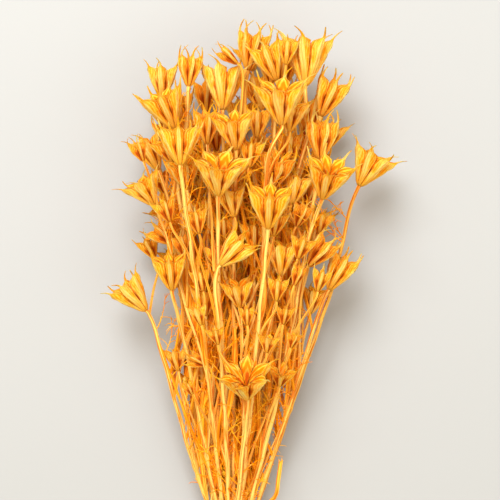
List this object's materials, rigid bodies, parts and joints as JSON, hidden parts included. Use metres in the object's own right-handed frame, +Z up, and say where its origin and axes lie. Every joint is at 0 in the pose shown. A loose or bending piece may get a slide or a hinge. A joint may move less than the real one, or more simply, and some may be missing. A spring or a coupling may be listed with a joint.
{
  "type": "tied bunch of dried nigella seed pods",
  "caption": "Tied bunch of dried, orange-dyed nigella seed pods on thin branched stalks, lying on its side as dry flower decoration.",
  "frame": {"origin": "middle of the bunch's box, on the surface it lies on", "axes": "+Y along the bunch from the cut ends to the seed heads, +Z up, +X to the right seen from above with the heads away"},
  "size_m": [0.2507, 0.4856, 0.1579],
  "materials": {
    "dyed_seed_heads": "dry, papery, matt, dyed orange over straw",
    "twine": "rough natural jute"
  },
  "bodies": {
    "root": {"stem_01": "dyed_seed_heads", "stem_02": "dyed_seed_heads", "stem_03": "dyed_seed_heads", "stem_04": "dyed_seed_heads", "stem_05": "dyed_seed_heads", "stem_06": "dyed_seed_heads", "stem_07": "dyed_seed_heads", "stem_08": "dyed_seed_heads", "stem_09": "dyed_seed_heads", "stem_10": "dyed_seed_heads", "stem_11": "dyed_seed_heads", "stem_12": "dyed_seed_heads", "stem_13": "dyed_seed_heads", "stem_14": "dyed_seed_heads", "stem_15": "dyed_seed_heads", "stem_16": "dyed_seed_heads", "stem_17": "dyed_seed_heads", "stem_18": "dyed_seed_heads", "stem_19": "dyed_seed_heads", "stem_20": "dyed_seed_heads", "stem_21": "dyed_seed_heads", "stem_22": "dyed_seed_heads", "stem_23": "dyed_seed_heads", "stem_24": "dyed_seed_heads", "stem_25": "dyed_seed_heads", "stem_26": "dyed_seed_heads", "stem_27": "dyed_seed_heads", "stem_28": "dyed_seed_heads", "stem_29": "dyed_seed_heads", "stem_30": "dyed_seed_heads", "stem_31": "dyed_seed_heads", "stem_32": "dyed_seed_heads", "tie": "twine"}
  },
  "joints": []
}
